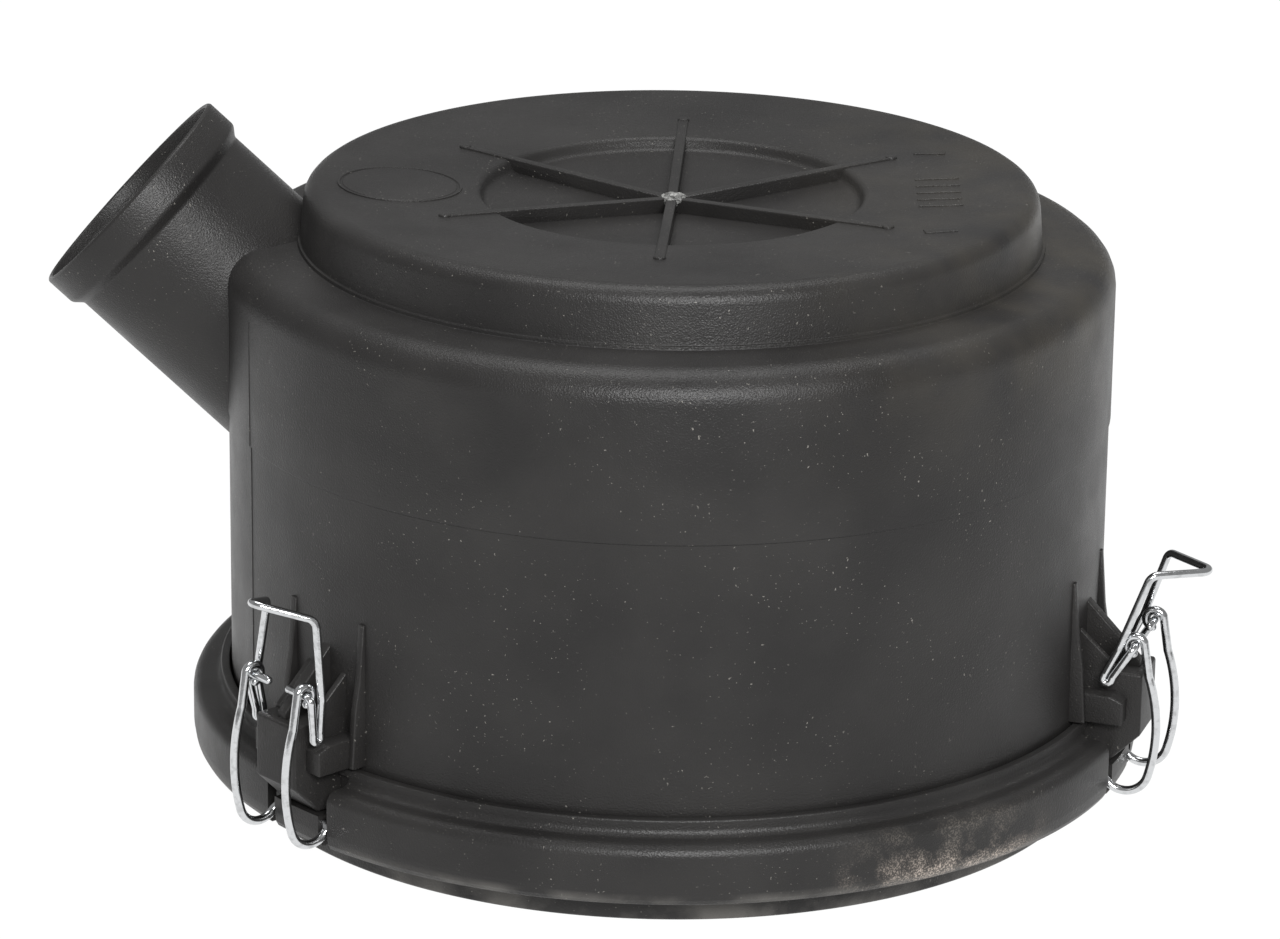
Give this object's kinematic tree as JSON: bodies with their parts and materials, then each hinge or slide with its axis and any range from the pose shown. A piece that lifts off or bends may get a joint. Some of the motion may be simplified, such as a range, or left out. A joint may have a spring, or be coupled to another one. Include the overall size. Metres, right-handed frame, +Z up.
{
  "type": "air filter housing",
  "caption": "Round air filter housing with a slanted hose inlet, a ribbed top, a flat base and swinging wire clips around its rim.",
  "frame": {"origin": "centre of the outlet bore on the flat mounting face of the base", "axes": "+Z up along the housing's axis; the inlet tube points towards -X and slightly towards +Y; -Y is the front"},
  "size_m": [0.292, 0.2518, 0.1672],
  "materials": {
    "housing_plastic": "grained black moulded plastic",
    "clip_wire": "bright zinc-plated spring wire",
    "seal_rubber": "matt black rubber",
    "sleeve_steel": "zinc-plated steel",
    "filter_paper": "resin-impregnated pleated paper",
    "cap_foam": "soft moulded polyurethane",
    "liner_steel": "galvanised perforated sheet",
    "safety_fleece": "white needle felt",
    "safety_plastic": "dark moulded plastic"
  },
  "bodies": {
    "root": {"bowl": "housing_plastic", "base": "housing_plastic", "housing_seal": "seal_rubber", "mounting_sleeves": "sleeve_steel", "element_media": "filter_paper", "element_top_cap": "cap_foam", "element_bottom_cap": "cap_foam", "element_inner_liner": "liner_steel", "element_outer_guard": "liner_steel", "safety_fleece": "safety_fleece", "safety_end_cap": "safety_plastic", "safety_seal_ring": "seal_rubber"},
    "hook_back": {"hook_back": "clip_wire"},
    "handle_back": {"handle_back": "clip_wire"},
    "hook_left": {"hook_left": "clip_wire"},
    "handle_left": {"handle_left": "clip_wire"},
    "hook_right": {"hook_right": "clip_wire"},
    "handle_right": {"handle_right": "clip_wire"}
  },
  "joints": [
    {"name": "hook_back_swing", "type": "hinge", "parent": "root", "child": "hook_back", "pos_m": [-0.02447, 0.11512, 0.01409], "axis": [-0.9781, -0.2079, 0], "range_deg": [0, 90]},
    {"name": "handle_back_swing", "type": "hinge", "parent": "hook_back", "child": "handle_back", "pos_m": [-0.02593, 0.12198, 0.0491], "axis": [-0.9781, -0.2079, 0], "range_deg": [0, 46]},
    {"name": "hook_left_swing", "type": "hinge", "parent": "root", "child": "hook_left", "pos_m": [-0.08746, -0.07875, 0.01409], "axis": [0.6691, -0.7431, 0], "range_deg": [0, 90]},
    {"name": "handle_left_swing", "type": "hinge", "parent": "hook_left", "child": "handle_left", "pos_m": [-0.09267, -0.08344, 0.0491], "axis": [0.6691, -0.7431, 0], "range_deg": [0, 46]},
    {"name": "hook_right_swing", "type": "hinge", "parent": "root", "child": "hook_right", "pos_m": [0.11193, -0.03637, 0.01409], "axis": [0.309, 0.9511, 0], "range_deg": [0, 90]},
    {"name": "handle_right_swing", "type": "hinge", "parent": "hook_right", "child": "handle_right", "pos_m": [0.1186, -0.03854, 0.0491], "axis": [0.309, 0.9511, 0], "range_deg": [-22, 24]}
  ]
}
